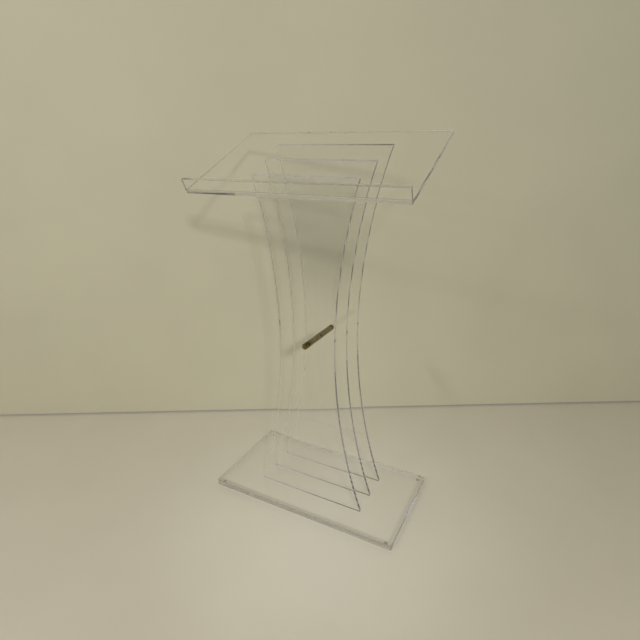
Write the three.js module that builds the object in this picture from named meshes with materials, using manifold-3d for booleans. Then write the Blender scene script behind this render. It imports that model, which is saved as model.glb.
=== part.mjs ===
// Clear acrylic lectern: a base plate on four small feet, three hourglass panels standing
// one behind the other, a sloping desk with a book lip, and a brass tie at the waist.
// Millimetres, +Z up. The reader stands on the -Y side. The origin is at the bottom
// centre of the bounding box.

import * as THREE from 'three';
import { mergeVertices } from 'three/addons/utils/BufferGeometryUtils.js';
import Module from 'manifold-3d';

// Driving dimensions
const GAP = 0.3; // clearance kept between pieces that touch

const FOOT_DIAMETER = 12.7;
const FOOT_HEIGHT = 3.5;
const FOOT_INSET_X = 22; // from the end of the base to the foot's centre
const FOOT_INSET_Y = 14; // from the front or back of the base to the foot's centre
const FOOT_EDGE = 1; // chamfer round the foot's lower edge

const BASE_WIDTH = 670;
const BASE_DEPTH = 360;
const BASE_THICKNESS = 19;
const BASE_CORNER = 4;

const SHEET = 9.5; // thickness of the panels, the desk and the lip
const PANEL_PITCH = 86; // centre to centre, along Y
const WAIST_WIDTH = 191;
const WAIST_HEIGHT = 592; // height of the narrowest place, where the tie runs
const SIDE_RADIUS = 1714; // radius of the panels' curved sides
const SIDE_STEPS = 48; // segments along a panel's side

const DESK_WIDTH = 680;
const DESK_LENGTH = 378; // along the slope
const DESK_TILT = THREE.MathUtils.degToRad(24.5);
const DESK_FRONT_Y = -182; // lower front edge of the desk
const DESK_FRONT_Z = 1044;
const DESK_CORNER = 2;
const LIP_HEIGHT = 34; // above the desk's upper face

const TIE_HEIGHT = 590;
const SLEEVE_DIAMETER = 19;
const SLEEVE_BORE = 8.6;
const BOLT_DIAMETER = 8;
const BOLT_HOLE = 9; // in the panels
const BOLT_HEAD_LENGTH = 3;
const CAP_LENGTH = 12;
const CAP_WALL = 3; // solid end of the cap nut, in front of the bore
const BOLT_END_PLAY = 1; // between the bolt's end and the bottom of the bore
const EDGE_BREAK = 0.6; // chamfer on the brass pieces
const ROUND_SEGMENTS = 48;
const CORNER_SEGMENTS = 6; // along each rounded corner of the base and the desk

// Derived places
const BASE_TOP = FOOT_HEIGHT + BASE_THICKNESS;
const PANEL_FOOT = BASE_TOP + GAP;
const ARC_CENTRE_X = WAIST_WIDTH / 2 + SIDE_RADIUS;
const PANEL_Y = { front_panel: -PANEL_PITCH, middle_panel: 0, rear_panel: PANEL_PITCH };

// Materials
const acrylic = { color: 0xe4e6de, roughness: 0.05, metalness: 0, transparent: true, opacity: 0.3 };
const vinyl = { color: 0xdcdcd2, roughness: 0.35, metalness: 0, transparent: true, opacity: 0.5 };
const brass = { color: 0x8c7d46, roughness: 0.35, metalness: 1 };

const lectern = new THREE.Group();

function addPiece(name, geometry, look, parent = lectern) {
  const mesh = new THREE.Mesh(geometry, new THREE.MeshStandardMaterial(look));
  mesh.name = name;
  parent.add(mesh);
  return mesh;
}

// A rectangle centred on the origin with rounded corners.
function roundedRectangle(width, depth, radius) {
  const x = width / 2 - radius;
  const y = depth / 2 - radius;
  const shape = new THREE.Shape();
  shape.absarc(x, y, radius, 0, Math.PI / 2);
  shape.absarc(-x, y, radius, Math.PI / 2, Math.PI);
  shape.absarc(-x, -y, radius, Math.PI, Math.PI * 1.5);
  shape.absarc(x, -y, radius, Math.PI * 1.5, Math.PI * 2);
  shape.closePath();
  return shape;
}

function plate(width, depth, thickness, radius) {
  return new THREE.ExtrudeGeometry(roundedRectangle(width, depth, radius), {
    depth: thickness,
    bevelEnabled: false,
    curveSegments: CORNER_SEGMENTS,
  });
}

// A turned piece on the Y axis. The profile is a closed list of [radius, y] points.
function turned(profile) {
  const points = profile.map(([radius, y]) => new THREE.Vector2(radius, y));
  return new THREE.LatheGeometry(points, ROUND_SEGMENTS);
}

let wasm;

async function loadBooleans() {
  wasm = await Module();
  wasm.setup();
}

function toSolid(geometry) {
  const bare = geometry.clone();
  bare.deleteAttribute('normal');
  bare.deleteAttribute('uv');
  const merged = mergeVertices(bare);
  const vertProperties = new Float32Array(merged.attributes.position.array);
  const triVerts = new Uint32Array(merged.index.array);
  return new wasm.Manifold(new wasm.Mesh({ numProp: 3, vertProperties, triVerts }));
}

function toGeometry(solid) {
  const mesh = solid.getMesh();
  const geometry = new THREE.BufferGeometry();
  geometry.setAttribute('position', new THREE.BufferAttribute(mesh.vertProperties, 3));
  geometry.setIndex(new THREE.BufferAttribute(mesh.triVerts, 1));
  geometry.computeVertexNormals();
  return geometry;
}

// Feet: turned clear bumpers with a soft lower edge, stuck under the corners.
function addFeet() {
  const radius = FOOT_DIAMETER / 2;
  const profile = [
    [0, 0],
    [radius - FOOT_EDGE, 0],
    [radius, FOOT_EDGE],
    [radius, FOOT_HEIGHT - GAP],
    [0, FOOT_HEIGHT - GAP],
  ];
  const x = BASE_WIDTH / 2 - FOOT_INSET_X;
  const y = BASE_DEPTH / 2 - FOOT_INSET_Y;
  for (const [side, signX] of [['left', -1], ['right', 1]]) {
    for (const [end, signY] of [['front', -1], ['back', 1]]) {
      const geometry = turned(profile).rotateX(Math.PI / 2);
      addPiece(`foot_${end}_${side}`, geometry, vinyl).position.set(signX * x, signY * y, 0);
    }
  }
}

function addBase() {
  const geometry = plate(BASE_WIDTH, BASE_DEPTH, BASE_THICKNESS, BASE_CORNER);
  addPiece('base_plate', geometry, acrylic).position.z = FOOT_HEIGHT;
}

// The outline of a panel in X and Z: circular sides, narrow at the waist, with the
// bolt's hole. Its top is left high, for the desk's slope to be cut across it.
function panelOutline(top) {
  const lower = Math.asin((WAIST_HEIGHT - PANEL_FOOT) / SIDE_RADIUS);
  const upper = Math.asin((top - WAIST_HEIGHT) / SIDE_RADIUS);
  const shape = new THREE.Shape();
  shape.absarc(ARC_CENTRE_X, WAIST_HEIGHT, SIDE_RADIUS, Math.PI + lower, Math.PI - upper, true);
  shape.absarc(-ARC_CENTRE_X, WAIST_HEIGHT, SIDE_RADIUS, upper, -lower, true);
  shape.closePath();
  const hole = new THREE.Path();
  hole.absarc(0, TIE_HEIGHT, BOLT_HOLE / 2, 0, Math.PI * 2);
  shape.holes.push(hole);
  return shape;
}

// Height of the desk's underside at a place y.
function deskUnderside(y) {
  return DESK_FRONT_Z + (y - DESK_FRONT_Y) * Math.tan(DESK_TILT);
}

function addPanels() {
  const cutter = new THREE.BoxGeometry(DESK_WIDTH, DESK_LENGTH * 2, DESK_LENGTH);
  cutter.translate(0, 0, DESK_LENGTH / 2);
  cutter.rotateX(DESK_TILT);
  cutter.translate(0, 0, deskUnderside(0) - GAP / Math.cos(DESK_TILT));
  const aboveDesk = toSolid(cutter);
  for (const [name, y] of Object.entries(PANEL_Y)) {
    const top = deskUnderside(y + SHEET);
    const blank = new THREE.ExtrudeGeometry(panelOutline(top), {
      depth: SHEET,
      bevelEnabled: false,
      curveSegments: SIDE_STEPS,
    });
    blank.rotateX(Math.PI / 2);
    blank.translate(0, y + SHEET / 2, 0);
    addPiece(name, toGeometry(toSolid(blank).subtract(aboveDesk)), acrylic);
  }
}

// The desk sheet and the lip that stands on its front edge share one tilted group,
// whose origin is the desk's lower front edge: +Y runs up the slope, +Z out of the desk.
function addDesk() {
  const slope = new THREE.Group();
  slope.position.set(0, DESK_FRONT_Y, DESK_FRONT_Z);
  slope.rotation.x = DESK_TILT;
  lectern.add(slope);
  const desk = plate(DESK_WIDTH, DESK_LENGTH, SHEET, DESK_CORNER);
  addPiece('desk_panel', desk, acrylic, slope).position.y = DESK_LENGTH / 2;
  const lip = new THREE.BoxGeometry(DESK_WIDTH, SHEET, LIP_HEIGHT - GAP);
  const lipCentre = SHEET + GAP + (LIP_HEIGHT - GAP) / 2;
  addPiece('book_lip', lip, acrylic, slope).position.set(0, SHEET / 2, lipCentre);
}

// The tie: a bolt with a low head behind the rear panel runs through sleeves between
// the panels into a cap nut in front. All of it is turned about the Y axis.
function addTie() {
  const tie = new THREE.Group();
  tie.position.z = TIE_HEIGHT;
  lectern.add(tie);
  const outer = SLEEVE_DIAMETER / 2;
  const bore = SLEEVE_BORE / 2;
  const shank = BOLT_DIAMETER / 2;
  const frontFace = -PANEL_PITCH - SHEET / 2;
  const rearFace = PANEL_PITCH + SHEET / 2;

  const sleeveLength = PANEL_PITCH - SHEET - 2 * GAP;
  const sleeve = [
    [bore, -sleeveLength / 2],
    [outer - EDGE_BREAK, -sleeveLength / 2],
    [outer, -sleeveLength / 2 + EDGE_BREAK],
    [outer, sleeveLength / 2 - EDGE_BREAK],
    [outer - EDGE_BREAK, sleeveLength / 2],
    [bore, sleeveLength / 2],
    [bore, -sleeveLength / 2],
  ];
  addPiece('front_sleeve', turned(sleeve), brass, tie).position.y = -PANEL_PITCH / 2;
  addPiece('rear_sleeve', turned(sleeve), brass, tie).position.y = PANEL_PITCH / 2;

  const capMouth = frontFace - GAP;
  const capEnd = frontFace - CAP_LENGTH;
  const cap = [
    [0, capEnd],
    [outer - EDGE_BREAK * 2, capEnd],
    [outer, capEnd + EDGE_BREAK * 2],
    [outer, capMouth],
    [bore, capMouth],
    [bore, capEnd + CAP_WALL],
    [0, capEnd + CAP_WALL],
  ];
  addPiece('front_cap', turned(cap), brass, tie);

  const boltEnd = capEnd + CAP_WALL + BOLT_END_PLAY;
  const headEnd = rearFace + GAP + BOLT_HEAD_LENGTH;
  const bolt = [
    [0, boltEnd],
    [shank - EDGE_BREAK, boltEnd],
    [shank, boltEnd + EDGE_BREAK],
    [shank, rearFace + GAP],
    [outer, rearFace + GAP],
    [outer, headEnd - EDGE_BREAK],
    [outer - EDGE_BREAK, headEnd],
    [0, headEnd],
  ];
  addPiece('tie_bolt', turned(bolt), brass, tie);
}

// Moves the model so that the origin is at the bottom centre of its bounding box.
function centreOnOrigin() {
  const box = new THREE.Box3().setFromObject(lectern, true);
  const centre = box.getCenter(new THREE.Vector3());
  lectern.position.set(-centre.x, -centre.y, -box.min.z);
}

await loadBooleans();
addFeet();
addBase();
addPanels();
addDesk();
addTie();
centreOnOrigin();

export default lectern;
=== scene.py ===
import math

import bmesh
import bpy
from mathutils import Matrix, Vector


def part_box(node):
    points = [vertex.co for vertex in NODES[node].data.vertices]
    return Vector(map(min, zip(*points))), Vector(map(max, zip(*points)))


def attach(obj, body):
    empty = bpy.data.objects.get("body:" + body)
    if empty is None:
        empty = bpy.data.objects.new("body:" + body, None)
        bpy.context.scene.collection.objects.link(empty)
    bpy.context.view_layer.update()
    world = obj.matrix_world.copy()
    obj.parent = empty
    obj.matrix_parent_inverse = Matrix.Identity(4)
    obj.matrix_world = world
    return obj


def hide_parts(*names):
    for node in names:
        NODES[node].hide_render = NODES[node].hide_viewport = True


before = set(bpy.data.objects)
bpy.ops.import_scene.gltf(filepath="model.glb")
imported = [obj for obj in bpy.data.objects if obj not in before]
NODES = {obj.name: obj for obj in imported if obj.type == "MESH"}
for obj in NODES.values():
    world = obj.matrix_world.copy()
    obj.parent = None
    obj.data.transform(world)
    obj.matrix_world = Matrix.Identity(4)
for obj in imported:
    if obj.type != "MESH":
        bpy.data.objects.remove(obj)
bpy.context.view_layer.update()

MM = 0.001
MID_TONES = (0.3, 0.7)  # most values of a noise texture lie in this span

# Acrylic sheets
PANEL_NODES = ("front_panel", "middle_panel", "rear_panel")
EDGE_BEVEL = 0.4 * MM
BASE_BEVEL = 0.5 * MM
BEVEL_STEPS = 3
MERGE_DISTANCE = 0.01 * MM
FLAT_ANGLE = math.radians(0.05)  # neighbouring faces within this angle become one face
CORNER_ANGLE = math.radians(30)  # edges sharper than this get the bevel
WIDE_FACE = 0.02  # a face with this much area, in square metres, is sheet surface, not a cut edge
SAME_PLANE = 0.99999  # cosine between the normals of faces in one plane
SAME_JOINT = 0.999  # cosine between the normals of a cemented face and of the joint
SURFACE, EDGE, JOINT = range(3)  # places of the three materials on a sheet
SHEET_FACE_WEIGHT = 100  # the flat faces alone decide the normals at the bevels

# Acrylic, seen through and in shadow
ACRYLIC_IOR = 1.49
ACRYLIC_TINT = (0.88, 0.88, 0.88, 1)  # what is left of light after a metre inside the acrylic
FACE_SHADOW = (1, 1, 1, 1)
EDGE_SHADOW = (0.68, 0.68, 0.67, 1)
BASE_EDGE_SHADOW = (0.95, 0.95, 0.94, 1)
JOINT_SHADOW = (0.9, 0.9, 0.9, 1)
FACE_ROUGHNESS = (0, 0.02)
EDGE_ROUGHNESS = (0.03, 0.06)
EDGE_HAZE_COLOUR = (0.93, 0.91, 0.97)
PANEL_EDGE_HAZE = 0.12
DESK_EDGE_HAZE = 0.02
BASE_EDGE_HAZE = 0.04
JOINT_COLOUR = (0.56, 0.54, 0.53)
JOINT_CONTRAST = 0.15
JOINT_ROUGHNESS = (0.85, 0.6)

# Brass tie
BRASS_STOPS = (
    (0.3, (0.15, 0.12, 0.04)),
    (0.55, (0.29, 0.245, 0.085)),
    (0.8, (0.48, 0.41, 0.16)),
)
BRASS_ROUGHNESS = (0.4, 0.24)
TURNED_SEGMENTS = 96
ROUNDING_STEPS = 5
ON_AXIS = 1e-6  # a smaller radius is a point on the axis
TURNED_FACE_WEIGHT = 50
FINE_ROUNDING = 0.2 * MM
CAP_ROUNDING = 1.6 * MM
CAP_MOUTH_ROUNDING = 0.3 * MM
SLEEVE_ROUNDING = 0.5 * MM
BOLT_END_ROUNDING = 0.6 * MM
BOLT_HEAD_ROUNDING = 1.2 * MM
BORE_RADIUS = 4.3 * MM
BOLT_RADIUS = 4.0 * MM
CAP_WALL = 3.0 * MM
DIMPLE_DEPTH = 0.5 * MM  # how far the middle of the cap's end is turned back
DIMPLE_FLOOR = 0.5  # radius of the dimple's flat middle, as a share of the cap's radius
DIMPLE_RIM = 0.6
DIMPLE_FLOOR_ROUNDING = 0.3 * MM
DIMPLE_RIM_ROUNDING = 0.4 * MM
HEAD_GAP = 0.3 * MM  # between the rear panel and the bolt's head

# Feet
FOOT_STOPS = ((0.3, (0.50, 0.48, 0.41)), (0.7, (0.62, 0.60, 0.52)))
FOOT_ROUGHNESS = (0.08, 0.2)
FOOT_CLARITY = 0.45
FOOT_IOR = 1.5
FOOT_SOLE = 0.72  # radius of the flat sole, as a share of the foot's radius
SOLE_ROUNDING = 1.0 * MM
FOOT_SIDE_ROUNDING = 1.2 * MM

# Light and view, read off the room in which the lectern stands
CAMERA_PLACE = Vector((0.6749, -1.2589, 1.1857))
CAMERA_AZIMUTH = math.radians(28.0)
CAMERA_ELEVATION = math.radians(20.65)
CAMERA_ROLL = math.radians(-0.46)
LENS = 26.87
SENSOR_WIDTH = 36
CLIP_START = 0.05
WALL_TURN = math.radians(29.5)
WALL_DISTANCE = 0.53
WALL_WIDTH = 14
WALL_HEIGHT = 3.2
WALL_GAP = 7 * MM  # shadow gap between the wall's foot and the floor
WALL_COLOUR = (0.68, 0.66, 0.515)
WALL_ROUGHNESS = 0.8
FLOOR_WIDTH = 24
FLOOR_COLOUR = (0.80, 0.76, 0.65)
# painted shade: the floor's colour far out from the wall, standing in for the unlit room
PAINTED_SHADE_FLOOR_COLOUR = (0.06, 0.055, 0.05)
PALE_FLOOR_REACH = 0.9  # how far out from under the lectern, away from the wall, the floor is pale
PAINTED_SHADE_START = 1.8
FLOOR_ROUGHNESS = 0.35
MOTTLE = (0.98, 1.02)
ROOM_COLOUR = (1.0, 0.96, 0.88, 1)
ROOM_STRENGTH = 0.09
LIGHT_COLOUR = (1.0, 0.96, 0.88)
LIGHT_SIZE = (0.3, 0.25)
LIGHT_TARGET = Vector((0, 0.1, 0.7))
LIGHTS = (  # name, place, watts
    ("left_light", Vector((-1.0, -3.0, 2.5)), 34),
    ("right_light", Vector((2.4, -3.2, 2.5)), 75),
)
LOW_LIGHT_PLACE = Vector((0.25, -0.75, 0.95))
LOW_LIGHT_TARGET = Vector((0.05, 0.0, 0))
LOW_LIGHT_COLOUR = (0.88, 0.95, 1.0)
LOW_LIGHT_SIZE = (0.3, 0.3)
LOW_LIGHT_SPREAD = math.radians(70)
LOW_LIGHT_WATTS = 0.42
CARD_SIZE = (1.3, 0.9)
CARD_COLOUR = (0.80, 0.93, 1.15)
CARD_SETBACK = 0.03
CARD_FADE = (0.1, 0.5)  # distances from a card's middle, as shares of its size, between which it fades
BOUNCES_IN_ACRYLIC = 96  # light runs to and fro inside a sheet many times before it comes out
DIFFUSE_BOUNCES = 4
TRANSPARENT_BOUNCES = 24


# ---------------------------------------------------------------- node helpers

def new_material(name):
    material = bpy.data.materials.new(name)
    material.use_nodes = True
    tree = material.node_tree
    shader = tree.nodes["Principled BSDF"]
    return material, tree, shader


def add(tree, kind, **values):
    node = tree.nodes.new(kind)
    for key, value in values.items():
        setattr(node, key, value)
    return node


def noise(tree, vector, scale, detail=3.0, roughness=0.5):
    node = add(tree, "ShaderNodeTexNoise")
    node.inputs["Scale"].default_value = scale
    node.inputs["Detail"].default_value = detail
    node.inputs["Roughness"].default_value = roughness
    tree.links.new(vector, node.inputs["Vector"])
    return node.outputs["Fac"]


def remap(tree, value, span, result, **values):
    node = add(tree, "ShaderNodeMapRange", **values)
    for name, number in zip(("From Min", "From Max", "To Min", "To Max"), (*span, *result)):
        node.inputs[name].default_value = number
    tree.links.new(value, node.inputs["Value"])
    return node.outputs["Result"]


def ramp(tree, value, stops):
    node = add(tree, "ShaderNodeValToRGB")
    elements = node.color_ramp.elements
    while len(elements) < len(stops):
        elements.new(0.5)
    for element, (position, colour) in zip(elements, stops):
        element.position = position
        element.color = (*colour, 1)
    tree.links.new(value, node.inputs["Fac"])
    return node.outputs["Color"]


def mapped(tree, vector, scale=(1, 1, 1), location=(0, 0, 0), turn=0.0):
    node = add(tree, "ShaderNodeMapping")
    node.inputs["Rotation"].default_value = (0, 0, turn)
    node.inputs["Scale"].default_value = scale
    node.inputs["Location"].default_value = location
    tree.links.new(vector, node.inputs["Vector"])
    return node.outputs["Vector"]


def length_of(tree, vector):
    node = add(tree, "ShaderNodeVectorMath", operation="LENGTH")
    tree.links.new(vector, node.inputs[0])
    return node.outputs["Value"]


def y_of(tree, vector):
    node = add(tree, "ShaderNodeSeparateXYZ")
    tree.links.new(vector, node.inputs["Vector"])
    return node.outputs["Y"]


def object_coordinates(tree):
    return add(tree, "ShaderNodeTexCoord").outputs["Object"]


def uneven_colour(tree, shader, texture, stops):
    tree.links.new(ramp(tree, texture, stops), shader.inputs["Base Color"])


def uneven_roughness(tree, shader, texture, span, roughness):
    tree.links.new(remap(tree, texture, span, roughness), shader.inputs["Roughness"])


def uneven_surface(tree, shader, texture, depth, strength):
    node = add(tree, "ShaderNodeBump")
    node.inputs["Distance"].default_value = depth
    node.inputs["Strength"].default_value = strength
    tree.links.new(texture, node.inputs["Height"])
    tree.links.new(node.outputs["Normal"], shader.inputs["Normal"])


def transparent(tree, colour=(1, 1, 1, 1)):
    node = add(tree, "ShaderNodeBsdfTransparent")
    node.inputs["Color"].default_value = colour
    return node.outputs["BSDF"]


def mixed(tree, share, first, second):
    node = add(tree, "ShaderNodeMixShader")
    tree.links.new(share, node.inputs["Fac"])
    tree.links.new(first, node.inputs[1])
    tree.links.new(second, node.inputs[2])
    return node.outputs["Shader"]


def show(tree, surface):
    tree.links.new(surface, tree.nodes["Material Output"].inputs["Surface"])


def let_light_through(tree, shader, colour):
    """Light that shines on what stands behind the clear piece passes straight through it."""
    path = add(tree, "ShaderNodeLightPath")
    clear = transparent(tree, colour)
    surface = shader.outputs["BSDF"]
    for ray in ("Is Shadow Ray", "Is Diffuse Ray"):
        surface = mixed(tree, path.outputs[ray], surface, clear)
    show(tree, surface)


# ---------------------------------------------------------------- materials

def clear_acrylic(name, shadow):
    """Clear cast acrylic with a faint tint that deepens with the length of the light's way inside."""
    material, tree, shader = new_material(name)
    shader.inputs["Base Color"].default_value = (1, 1, 1, 1)
    shader.inputs["Transmission Weight"].default_value = 1
    shader.inputs["IOR"].default_value = ACRYLIC_IOR
    absorption = add(tree, "ShaderNodeVolumeAbsorption")
    absorption.inputs["Color"].default_value = ACRYLIC_TINT
    absorption.inputs["Density"].default_value = 1
    tree.links.new(absorption.outputs["Volume"], tree.nodes["Material Output"].inputs["Volume"])
    let_light_through(tree, shader, shadow)
    return material, tree, shader


def make_face():
    """Sheet surface: smooth, with a faint casting wave and the odd hazy smudge."""
    material, tree, shader = clear_acrylic("acrylic_face", FACE_SHADOW)
    place = object_coordinates(tree)
    wave = noise(tree, place, scale=7, detail=1)
    uneven_surface(tree, shader, wave, depth=0.4 * MM, strength=0.25)
    smudge = noise(tree, place, scale=9, detail=5)
    uneven_roughness(tree, shader, smudge, (0.5, 0.8), FACE_ROUGHNESS)
    return material


def make_edge(name, shadow, haze):
    """Cut edge, polished by hand: it ripples along its length and is a little milky."""
    material, tree, shader = clear_acrylic(name, shadow)
    shader.inputs["Base Color"].default_value = (*EDGE_HAZE_COLOUR, 1)
    shader.inputs["Transmission Weight"].default_value = 1 - haze
    place = object_coordinates(tree)
    ripple = noise(tree, place, scale=16, detail=1)
    uneven_surface(tree, shader, ripple, depth=0.4 * MM, strength=0.05)
    scuffs = noise(tree, place, scale=40, detail=3)
    uneven_roughness(tree, shader, scuffs, (0.35, 0.75), EDGE_ROUGHNESS)
    return material


def make_joint():
    """Sawn edge under solvent cement: grey, matt and uneven, with paler places."""
    material, tree, shader = new_material("cement_joint")
    shader.inputs["Specular IOR Level"].default_value = 0
    place = object_coordinates(tree)
    patches = noise(tree, place, scale=60, detail=4)
    dark = tuple(channel * (1 - JOINT_CONTRAST) for channel in JOINT_COLOUR)
    pale = tuple(channel * (1 + JOINT_CONTRAST) for channel in JOINT_COLOUR)
    uneven_colour(tree, shader, patches, ((0.35, dark), (0.7, pale)))
    uneven_roughness(tree, shader, patches, MID_TONES, JOINT_ROUGHNESS)
    grain = noise(tree, place, scale=900, detail=3)
    uneven_surface(tree, shader, grain, depth=0.05 * MM, strength=0.5)
    let_light_through(tree, shader, JOINT_SHADOW)
    return material


def make_brass(centre):
    """Turned brass that has dulled: lathe rings about the tie's axis, and olive brown patches."""
    material, tree, shader = new_material("aged_brass")
    shader.inputs["Metallic"].default_value = 1
    place = mapped(tree, object_coordinates(tree), location=(-centre.x, 0, -centre.z))
    patches = noise(tree, place, scale=90, detail=6, roughness=0.6)
    uneven_colour(tree, shader, patches, BRASS_STOPS)
    uneven_roughness(tree, shader, patches, MID_TONES, BRASS_ROUGHNESS)
    lathe = add(tree, "ShaderNodeCombineXYZ")
    from_axis = length_of(tree, mapped(tree, place, scale=(1, 0, 1)))
    tree.links.new(from_axis, lathe.inputs["X"])
    tree.links.new(y_of(tree, place), lathe.inputs["Y"])
    rings = noise(tree, lathe.outputs["Vector"], scale=2400, detail=2)
    uneven_surface(tree, shader, rings, depth=0.02 * MM, strength=0.6)
    return material


def make_bumper():
    """Clear soft plastic, slightly cloudy."""
    material, tree, shader = new_material("clear_bumper")
    shader.inputs["Transmission Weight"].default_value = FOOT_CLARITY
    shader.inputs["IOR"].default_value = FOOT_IOR
    cloud = noise(tree, object_coordinates(tree), scale=400, detail=3)
    uneven_colour(tree, shader, cloud, FOOT_STOPS)
    uneven_roughness(tree, shader, cloud, MID_TONES, FOOT_ROUGHNESS)
    uneven_surface(tree, shader, cloud, depth=0.05 * MM, strength=0.3)
    let_light_through(tree, shader, BASE_EDGE_SHADOW)
    return material


# ---------------------------------------------------------------- pieces

def add_piece(name, shape, materials, node, face_weight):
    """Makes the shape the piece that stands for the node. Its larger faces set its normals."""
    mesh = bpy.data.meshes.new(name)
    shape.to_mesh(mesh)
    shape.free()
    for material in materials:
        mesh.materials.append(material)
    piece = bpy.data.objects.new(name, mesh)
    bpy.context.scene.collection.objects.link(piece)
    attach(piece, "root")
    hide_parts(node)
    weighted = piece.modifiers.new("weighted_normals", "WEIGHTED_NORMAL")
    weighted.keep_sharp = False
    weighted.weight = face_weight


def polished_sheet(node, edge_material, bevel, joint_normals=()):
    """A copy of a sheet node with its flat faces whole, its cemented faces marked, and its free
    edges broken by a small bevel."""
    shape = bmesh.new()
    shape.from_mesh(NODES[node].data)
    bmesh.ops.remove_doubles(shape, verts=shape.verts, dist=MERGE_DISTANCE)
    bmesh.ops.dissolve_limit(
        shape, angle_limit=FLAT_ANGLE, verts=shape.verts, edges=shape.edges
    )

    def cemented(face):
        return any(face.normal.dot(normal) > SAME_JOINT for normal in joint_normals)

    free_edges = [
        edge for edge in shape.edges
        if len(edge.link_faces) == 2 and edge.calc_face_angle() > CORNER_ANGLE
        and not any(cemented(face) for face in edge.link_faces)
    ]
    bmesh.ops.bevel(
        shape, geom=free_edges, offset=bevel, segments=BEVEL_STEPS, profile=0.5,
        affect="EDGES", clamp_overlap=True, harden_normals=False,
    )
    bmesh.ops.recalc_face_normals(shape, faces=shape.faces)
    sheet_normals = [face.normal.copy() for face in shape.faces if face.calc_area() > WIDE_FACE]
    for face in shape.faces:
        if any(face.normal.dot(normal) > SAME_PLANE for normal in sheet_normals):
            face.material_index = SURFACE
        elif cemented(face):
            face.material_index = JOINT
        else:
            face.material_index = EDGE
        face.smooth = face.material_index == EDGE
    materials = (face_material, edge_material, joint_material)
    add_piece(node + "_clear", shape, materials, node, SHEET_FACE_WEIGHT)


def rounded(corners):
    """A profile with its corners rounded. Each corner is (radius from axis, place on axis, rounding)."""
    points = []
    for index, (radius, place, rounding) in enumerate(corners):
        here = Vector((radius, place))
        if rounding == 0:
            points.append(here)
            continue
        before = Vector(corners[index - 1][:2])
        after = Vector(corners[(index + 1) % len(corners)][:2])
        start = here + (before - here).normalized() * rounding
        end = here + (after - here).normalized() * rounding
        for step in range(ROUNDING_STEPS + 1):
            share = step / ROUNDING_STEPS
            points.append(start.lerp(here, share).lerp(here.lerp(end, share), share))
    return points


def centre_of(node):
    low, high = (Vector(corner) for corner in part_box(node))
    return (low + high) / 2


def turned_piece(node, corners, material, axis):
    """A lathe-turned piece that stands for a round node, about an axis through the node's centre."""
    centre = centre_of(node)
    shape = bmesh.new()
    rings = []
    for radius, place in rounded(corners):
        if radius < ON_AXIS:
            rings.append([shape.verts.new((0, 0, place))])
            continue
        turns = [2 * math.pi * step / TURNED_SEGMENTS for step in range(TURNED_SEGMENTS)]
        rings.append([
            shape.verts.new((radius * math.cos(turn), radius * math.sin(turn), place)) for turn in turns
        ])
    pairs = list(zip(rings, rings[1:]))
    if len(rings[0]) > 1:  # the piece has a bore, so its profile is closed
        pairs.append((rings[-1], rings[0]))
    for first, second in pairs:
        for step in range(TURNED_SEGMENTS):
            after = (step + 1) % TURNED_SEGMENTS
            corners_of_face = (
                first[step % len(first)], first[after % len(first)],
                second[after % len(second)], second[step % len(second)],
            )
            shape.faces.new(dict.fromkeys(corners_of_face))
    if axis == "Y":
        bmesh.ops.rotate(shape, verts=shape.verts, matrix=Matrix.Rotation(math.radians(-90), 3, "X"))
        centre.y = 0
    else:
        centre.z = 0
    bmesh.ops.translate(shape, verts=shape.verts, vec=centre)
    bmesh.ops.recalc_face_normals(shape, faces=shape.faces)
    for face in shape.faces:
        face.smooth = True
    add_piece(node + "_turned", shape, (material,), node, TURNED_FACE_WEIGHT)


def ends(node, axis_index):
    low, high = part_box(node)
    return low[axis_index], high[axis_index]


def outer_radius(node):
    low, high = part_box(node)
    return (high[0] - low[0]) / 2


face_material = make_face()
joint_material = make_joint()
panel_edge = make_edge("panel_edge", EDGE_SHADOW, PANEL_EDGE_HAZE)
desk_edge = make_edge("desk_edge", EDGE_SHADOW, DESK_EDGE_HAZE)
base_edge = make_edge("thick_acrylic_edge", BASE_EDGE_SHADOW, BASE_EDGE_HAZE)

# The panels are cemented to the base at their feet and to the sloping desk at their tops.
desk_normal = max(NODES["desk_panel"].data.polygons, key=lambda face: face.area).normal.copy()
if desk_normal.z < 0:
    desk_normal.negate()
joint_normals = (Vector((0, 0, -1)), desk_normal)
for node in PANEL_NODES:
    polished_sheet(node, panel_edge, EDGE_BEVEL, joint_normals)
for node in ("desk_panel", "book_lip"):
    polished_sheet(node, desk_edge, EDGE_BEVEL)
polished_sheet("base_plate", base_edge, BASE_BEVEL)

brass = make_brass(centre_of("front_cap"))
for node in ("front_sleeve", "rear_sleeve"):
    near, far = ends(node, 1)
    radius = outer_radius(node)
    turned_piece(node, (
        (BORE_RADIUS, near, FINE_ROUNDING),
        (radius, near, SLEEVE_ROUNDING),
        (radius, far, SLEEVE_ROUNDING),
        (BORE_RADIUS, far, FINE_ROUNDING),
    ), brass, "Y")

near, far = ends("front_cap", 1)
radius = outer_radius("front_cap")
turned_piece("front_cap", (
    (0, near + DIMPLE_DEPTH, 0),
    (radius * DIMPLE_FLOOR, near + DIMPLE_DEPTH, DIMPLE_FLOOR_ROUNDING),
    (radius * DIMPLE_RIM, near, DIMPLE_RIM_ROUNDING),
    (radius, near, CAP_ROUNDING),
    (radius, far, CAP_MOUTH_ROUNDING),
    (BORE_RADIUS, far, FINE_ROUNDING),
    (BORE_RADIUS, near + CAP_WALL, FINE_ROUNDING),
    (0, near + CAP_WALL, 0),
), brass, "Y")

near, far = ends("tie_bolt", 1)
radius = outer_radius("tie_bolt")
head = ends("rear_panel", 1)[1] + HEAD_GAP
turned_piece("tie_bolt", (
    (0, near, 0),
    (BOLT_RADIUS, near, BOLT_END_ROUNDING),
    (BOLT_RADIUS, head, 0),
    (radius, head, FINE_ROUNDING),
    (radius, far, BOLT_HEAD_ROUNDING),
    (0, far, 0),
), brass, "Y")

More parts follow.
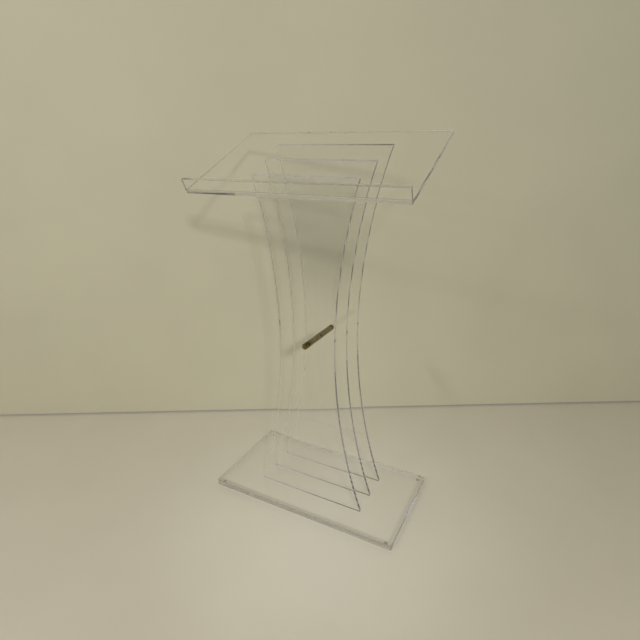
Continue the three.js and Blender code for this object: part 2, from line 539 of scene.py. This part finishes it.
bumper = make_bumper()
for node in ("foot_front_left", "foot_front_right", "foot_back_left", "foot_back_right"):
    sole, top = ends(node, 2)
    radius = outer_radius(node)
    turned_piece(node, (
        (0, sole, 0),
        (radius * FOOT_SOLE, sole, SOLE_ROUNDING),
        (radius, (sole + top) / 2, FOOT_SIDE_ROUNDING),
        (radius, top, FINE_ROUNDING),
        (0, top, 0),
    ), bumper, "Z")


# ---------------------------------------------------------------- room

def stage_plane(name, size, place, turn, material):
    bpy.ops.mesh.primitive_plane_add(size=1)
    plane = bpy.context.object
    plane.name = name
    plane.scale = (size[0], size[1], 1)
    plane.rotation_euler = turn
    plane.location = place
    plane.data.materials.append(material)
    return plane


def paint(name, colour, roughness):
    """Matt paint with a faint mottle. The colour is an RGB value, or a function that adds the
    nodes for one to the tree, from the place on the surface."""
    material, tree, shader = new_material(name)
    place = add(tree, "ShaderNodeNewGeometry").outputs["Position"]
    mottle = add(tree, "ShaderNodeVectorMath", operation="SCALE")
    if callable(colour):
        tree.links.new(colour(tree, place), mottle.inputs[0])
    else:
        mottle.inputs[0].default_value = colour
    tone = remap(tree, noise(tree, place, scale=3, detail=4), MID_TONES, MOTTLE)
    tree.links.new(tone, mottle.inputs["Scale"])
    tree.links.new(mottle.outputs["Vector"], shader.inputs["Base Color"])
    shader.inputs["Roughness"].default_value = roughness
    return material, tree, shader


def floor_colour(tree, place):
    """Pale along the wall, then painted shade away from it: the floor's colour turns dark where no light
    falls.
    """
    towards_wall = y_of(tree, mapped(tree, place, turn=-WALL_TURN))
    span = (-PALE_FLOOR_REACH, -PAINTED_SHADE_START)
    # painted shade: the floor turns dark with distance from the wall, as the room's light falls off
    fade = remap(tree, towards_wall, span, (0, 1), interpolation_type="SMOOTHSTEP")
    return ramp(tree, fade, ((0, FLOOR_COLOUR), (1, PAINTED_SHADE_FLOOR_COLOUR)))


floor_paint = paint("floor_paint", floor_colour, FLOOR_ROUGHNESS)[0]
stage_plane("floor", (FLOOR_WIDTH, FLOOR_WIDTH), (0, 0, 0), (0, 0, 0), floor_paint)

# The wall shows from the room's side only, so a camera behind it looks through it.
wall_paint, wall_tree, wall_shader = paint("wall_paint", WALL_COLOUR, WALL_ROUGHNESS)
behind = add(wall_tree, "ShaderNodeNewGeometry").outputs["Backfacing"]
show(wall_tree, mixed(wall_tree, behind, wall_shader.outputs["BSDF"], transparent(wall_tree)))
wall_centre = Vector((-math.sin(WALL_TURN), math.cos(WALL_TURN), 0)) * WALL_DISTANCE
wall_centre.z = WALL_GAP + WALL_HEIGHT / 2
wall_stand = (math.radians(90), 0, WALL_TURN)
stage_plane("wall", (WALL_WIDTH, WALL_HEIGHT), wall_centre, wall_stand, wall_paint)

world = bpy.data.worlds.new("room_light")
bpy.context.scene.world = world
world.use_nodes = True
background = world.node_tree.nodes["Background"]
background.inputs["Color"].default_value = ROOM_COLOUR
background.inputs["Strength"].default_value = ROOM_STRENGTH


def facing(aim):
    """The turn that points the front of a lamp or of a card along the aim."""
    return aim.to_track_quat("-Z", "Y").to_euler()


def glowing_card(name, size, place, aim, colour):
    """A card that glows in the middle and lights nothing: it shows only where it is mirrored
    or seen through the acrylic."""
    material, tree, _ = new_material(name)
    glow = add(tree, "ShaderNodeEmission")
    glow.inputs["Color"].default_value = (*colour, 1)
    from_middle = length_of(tree, object_coordinates(tree))
    strength = remap(tree, from_middle, CARD_FADE, (1, 0))
    show(tree, mixed(tree, strength, transparent(tree), glow.outputs["Emission"]))
    card = stage_plane(name, size, place, facing(aim), material)
    card.visible_camera = False
    card.visible_diffuse = False
    card.visible_shadow = False


def soft_light(name, place, aim, size, colour, watts, spread=math.pi):
    """An area light that shines on the room but isn't mirrored."""
    lamp = bpy.data.lights.new(name, "AREA")
    lamp.shape = "RECTANGLE"
    lamp.size, lamp.size_y = size
    lamp.energy = watts
    lamp.color = colour
    lamp.spread = spread
    holder = bpy.data.objects.new(name, lamp)
    bpy.context.scene.collection.objects.link(holder)
    holder.location = place
    holder.rotation_euler = facing(aim)
    holder.visible_camera = False
    holder.visible_glossy = False
    holder.visible_transmission = False


for name, place, watts in LIGHTS:
    aim = (LIGHT_TARGET - place).normalized()
    soft_light(name, place, aim, LIGHT_SIZE, LIGHT_COLOUR, watts)
    glowing_card(name + "_card", CARD_SIZE, place - aim * CARD_SETBACK, aim, CARD_COLOUR)
# What the panels throw back onto the base and the floor in front of them.
low_aim = (LOW_LIGHT_TARGET - LOW_LIGHT_PLACE).normalized()
soft_light("low_light", LOW_LIGHT_PLACE, low_aim, LOW_LIGHT_SIZE, LOW_LIGHT_COLOUR,
           LOW_LIGHT_WATTS, LOW_LIGHT_SPREAD)


# ---------------------------------------------------------------- camera

camera = bpy.data.objects.new("camera", bpy.data.cameras.new("camera"))
bpy.context.scene.collection.objects.link(camera)
bpy.context.scene.camera = camera
camera.data.lens = LENS
camera.data.sensor_width = SENSOR_WIDTH
camera.data.clip_start = CLIP_START
back = Vector((
    math.sin(CAMERA_AZIMUTH) * math.cos(CAMERA_ELEVATION),
    -math.cos(CAMERA_AZIMUTH) * math.cos(CAMERA_ELEVATION),
    math.sin(CAMERA_ELEVATION),
))
level_right = Vector((math.cos(CAMERA_AZIMUTH), math.sin(CAMERA_AZIMUTH), 0))
level_up = back.cross(level_right)
right = level_right * math.cos(CAMERA_ROLL) + level_up * math.sin(CAMERA_ROLL)
up = back.cross(right)
turn = Matrix((right, up, back)).transposed()
camera.matrix_world = Matrix.Translation(CAMERA_PLACE) @ turn.to_4x4()

scene = bpy.context.scene
scene.view_settings.view_transform = "Standard"
scene.cycles.max_bounces = BOUNCES_IN_ACRYLIC
scene.cycles.transmission_bounces = BOUNCES_IN_ACRYLIC
scene.cycles.glossy_bounces = BOUNCES_IN_ACRYLIC
scene.cycles.diffuse_bounces = DIFFUSE_BOUNCES
scene.cycles.transparent_max_bounces = TRANSPARENT_BOUNCES
